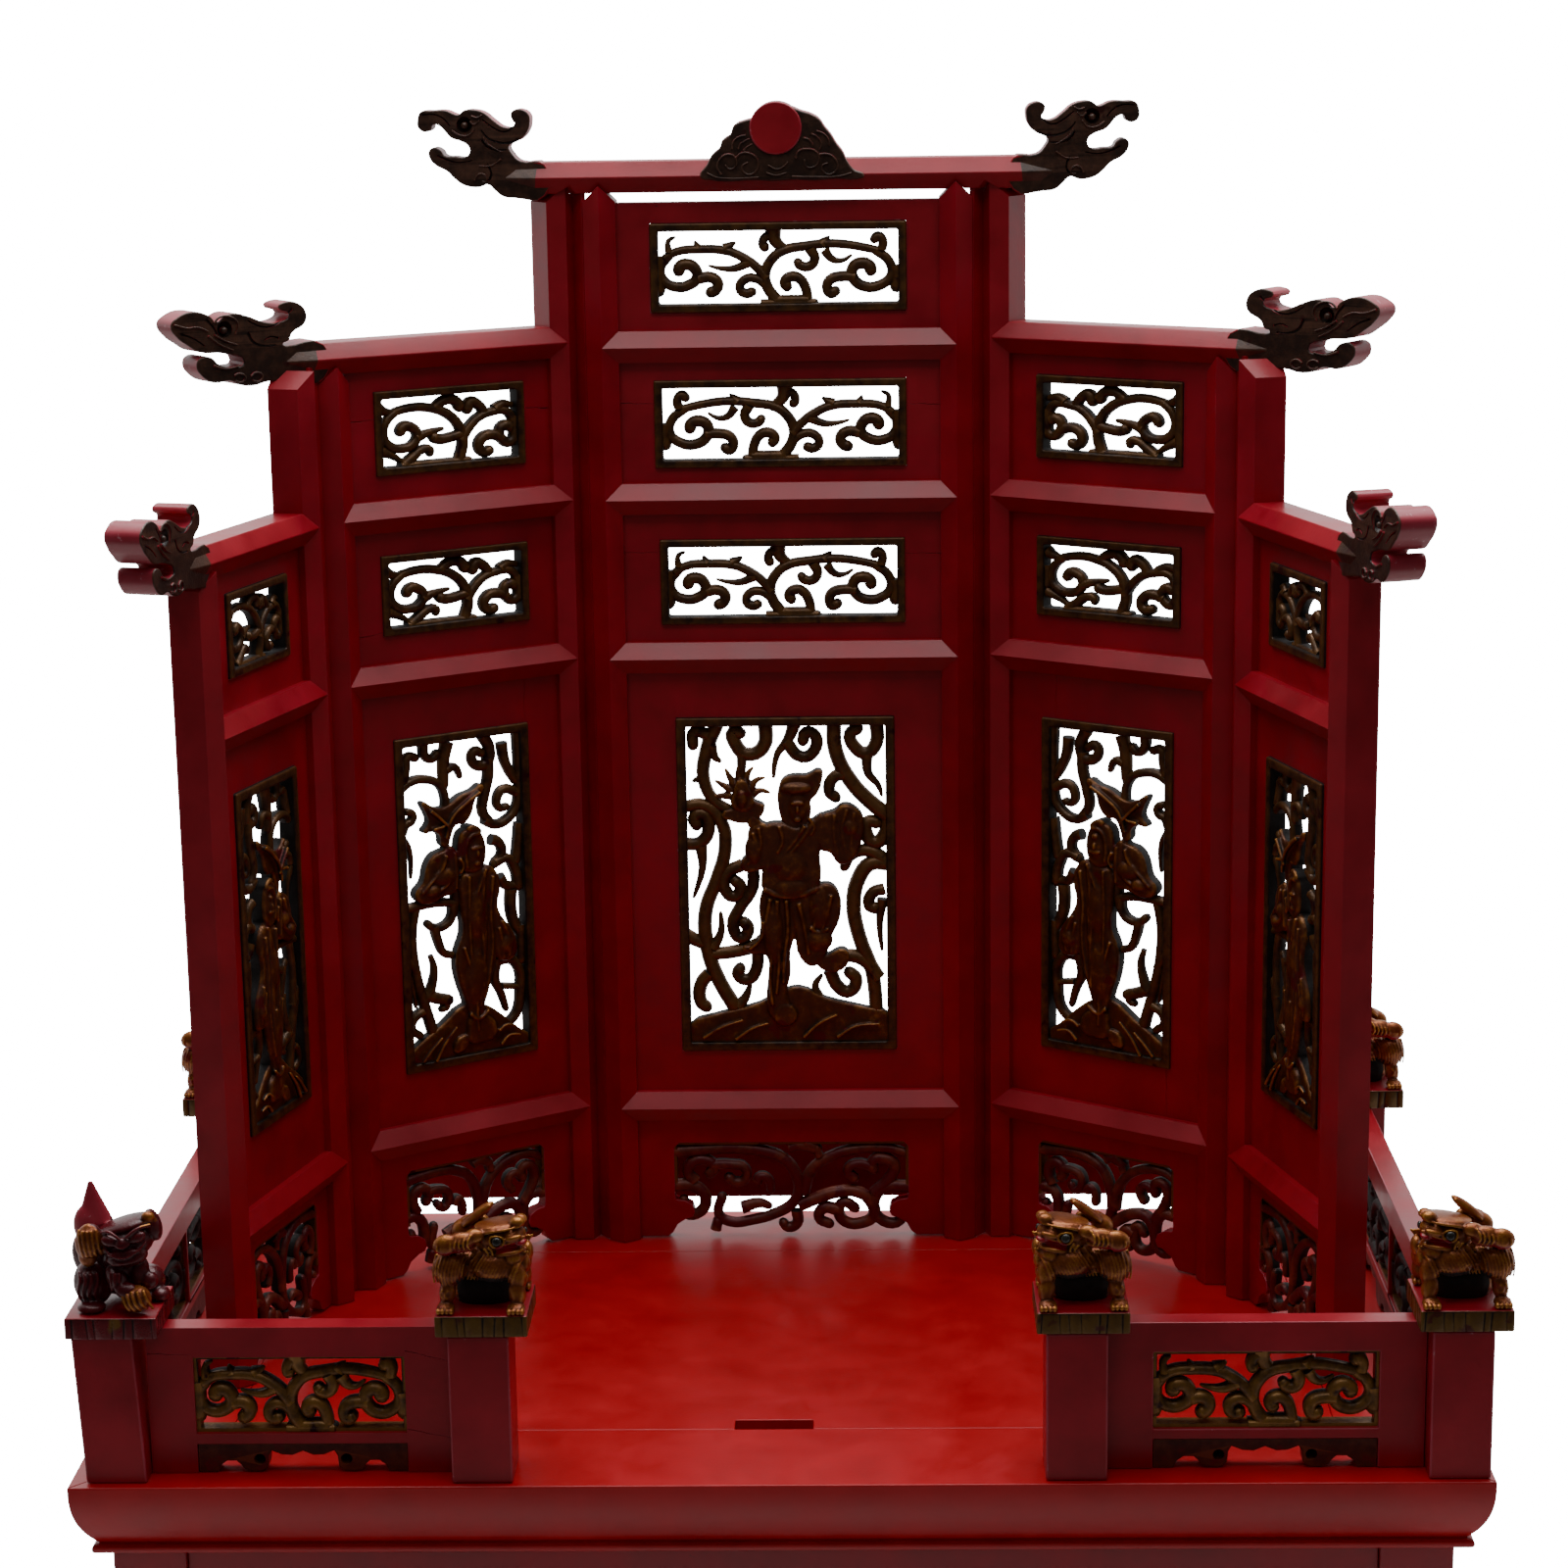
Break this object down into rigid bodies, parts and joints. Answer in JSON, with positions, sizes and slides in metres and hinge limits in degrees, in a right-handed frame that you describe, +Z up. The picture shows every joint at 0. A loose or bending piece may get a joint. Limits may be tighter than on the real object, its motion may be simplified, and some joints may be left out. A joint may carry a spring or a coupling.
{
  "type": "lacquered altar",
  "caption": "Red lacquered table altar: mitred platform on short legs, pierced balustrade with crouching lions, and a folding screen of carved gilt panels under dragon-headed rails.",
  "frame": {"origin": "on the floor, under the middle of the platform", "axes": "+Z up, the open front of the altar faces -Y, +X to the right of someone who faces it"},
  "size_m": [0.733, 0.41, 0.7995],
  "materials": {
    "red_lacquer": "worn red lacquer on wood",
    "carved_board": "red lacquered board with browned gilt carving",
    "dragon_gilding": "aged brown gilding on carved wood",
    "lion_gilding": "rubbed gilding on carved wood",
    "dark_red_lacquer": "dark red lacquer with traces of gilding"
  },
  "bodies": {
    "root": {"apron_centre": "carved_board", "apron_middle_left": "carved_board", "apron_middle_right": "carved_board", "apron_outer_left": "carved_board", "apron_outer_right": "carved_board", "crest": "dragon_gilding", "dragon_centre": "dragon_gilding", "dragon_middle_left": "dragon_gilding", "dragon_middle_right": "dragon_gilding", "dragon_outer_left": "dragon_gilding", "dragon_outer_right": "dragon_gilding", "fence_front_left": "carved_board", "fence_front_right": "carved_board", "fence_rear": "red_lacquer", "fence_side_left": "carved_board", "fence_side_right": "carved_board", "figure_centre": "carved_board", "figure_middle_left": "carved_board", "figure_middle_right": "carved_board", "figure_outer_left": "carved_board", "figure_outer_right": "carved_board", "frame_centre": "red_lacquer", "frame_middle_left": "red_lacquer", "frame_middle_right": "red_lacquer", "frame_outer_left": "red_lacquer", "frame_outer_right": "red_lacquer", "frieze_front": "red_lacquer", "frieze_left": "red_lacquer", "frieze_rear": "red_lacquer", "frieze_right": "red_lacquer", "leg_front_left": "red_lacquer", "leg_front_right": "red_lacquer", "leg_rear_left": "red_lacquer", "leg_rear_right": "red_lacquer", "lion_front_left": "dark_red_lacquer", "lion_front_right": "lion_gilding", "lion_gate_left": "lion_gilding", "lion_gate_right": "lion_gilding", "lion_rear_left": "lion_gilding", "lion_rear_right": "lion_gilding", "platform_front": "red_lacquer", "platform_left": "red_lacquer", "platform_panel": "red_lacquer", "platform_rear": "red_lacquer", "platform_right": "red_lacquer", "post_front_left": "red_lacquer", "post_front_right": "red_lacquer", "post_gate_left": "red_lacquer", "post_gate_right": "red_lacquer", "post_rear_left": "red_lacquer", "post_rear_right": "red_lacquer", "scroll_centre_1": "carved_board", "scroll_centre_2": "carved_board", "scroll_centre_3": "carved_board", "scroll_middle_left_1": "carved_board", "scroll_middle_left_2": "carved_board", "scroll_middle_right_1": "carved_board", "scroll_middle_right_2": "carved_board", "scroll_outer_left": "carved_board", "scroll_outer_right": "carved_board"}
  },
  "joints": []
}
